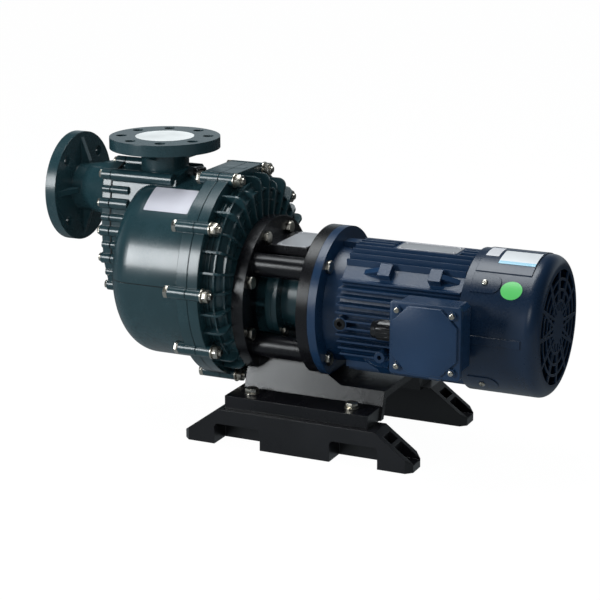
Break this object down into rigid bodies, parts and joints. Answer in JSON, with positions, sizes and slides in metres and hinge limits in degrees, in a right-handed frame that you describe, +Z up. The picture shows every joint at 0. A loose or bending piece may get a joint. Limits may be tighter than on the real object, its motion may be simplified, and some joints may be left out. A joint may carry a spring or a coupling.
{
  "type": "self-priming chemical pump",
  "caption": "Close-coupled self-priming chemical pump with plastic casing, pipe flanges, open bracket, flanged electric motor and two base rails.",
  "frame": {"origin": "on the floor, at the centre of the four anchor holes of the base rails", "axes": "+X along the shaft from pump to motor, +Y away from the terminal box, +Z up"},
  "size_m": [0.868, 0.368, 0.47],
  "materials": {
    "casing_plastic": "satin gloss, moulded",
    "casing_rubber": "matte",
    "stainless": "bright, slightly warm",
    "seal_ceramic": "ground",
    "seal_carbon": "lapped",
    "seal_white": "satin",
    "bracket_iron": "black paint, semi gloss",
    "rail_iron": "black paint, satin",
    "plate_metal": "satin, blank",
    "motor_paint": "dark blue paint, semi gloss",
    "cowl_paint": "dark blue paint, semi gloss",
    "core_steel": "laminated",
    "copper": "varnished copper",
    "shaft_steel": "ground",
    "fan_plastic": "moulded",
    "black_plastic": "moulded",
    "film_white": "printed film, blank"
  },
  "bodies": {
    "frame": {"pump_body": "casing_plastic", "suction_cover": "casing_plastic", "rear_cover": "casing_plastic", "volute": "casing_plastic", "seal_gland": "casing_plastic", "suction_cover_gasket": "casing_rubber", "casing_gasket": "casing_rubber", "terminal_box_gasket": "casing_rubber", "suction_cover_screws": "stainless", "casing_bolts": "stainless", "casing_washers": "stainless", "casing_nuts": "stainless", "gland_screws": "stainless", "bracket_bolts": "stainless", "foot_bolts": "stainless", "foot_washers": "stainless", "motor_flange_bolts": "stainless", "cowl_screws": "stainless", "terminal_box_screws": "stainless", "seal_seat": "seal_ceramic", "bracket": "bracket_iron", "rail_front": "rail_iron", "rail_rear": "rail_iron", "bracket_nameplate": "plate_metal", "motor_plate": "plate_metal", "motor_front_shield": "motor_paint", "motor_frame": "motor_paint", "motor_rear_shield": "motor_paint", "terminal_box_base": "motor_paint", "terminal_box_cover": "motor_paint", "fan_cowl": "cowl_paint", "stator_core": "core_steel", "stator_windings": "copper", "front_bearing_outer": "shaft_steel", "rear_bearing_outer": "shaft_steel", "terminal_board": "fan_plastic", "cable_gland_body": "black_plastic", "cable_gland_cap": "black_plastic", "frame_plug": "black_plastic", "discharge_port_film": "film_white"},
    "rotor": {"impeller": "casing_plastic", "impeller_nut": "casing_plastic", "pump_shaft": "stainless", "shaft_key": "shaft_steel", "seal_ring": "seal_carbon", "seal_bellows": "seal_white", "rotor_core": "core_steel", "motor_shaft": "shaft_steel", "front_bearing_inner": "shaft_steel", "rear_bearing_inner": "shaft_steel", "cooling_fan": "fan_plastic"},
    "priming_plug": {"priming_plug": "black_plastic"},
    "drain_plug": {"drain_plug": "black_plastic"}
  },
  "joints": [
    {"name": "rotor_spin", "type": "hinge", "parent": "frame", "child": "rotor", "pos_m": [0, 0, 0.222], "axis": [1, 0, 0], "continuous": true},
    {"name": "priming_plug_lift", "type": "slide", "parent": "frame", "child": "priming_plug", "axis": [0, 0, 1], "range_m": [0, 0.015]},
    {"name": "drain_plug_pull", "type": "slide", "parent": "frame", "child": "drain_plug", "axis": [-1, 0, 0], "range_m": [0, 0.03]}
  ]
}
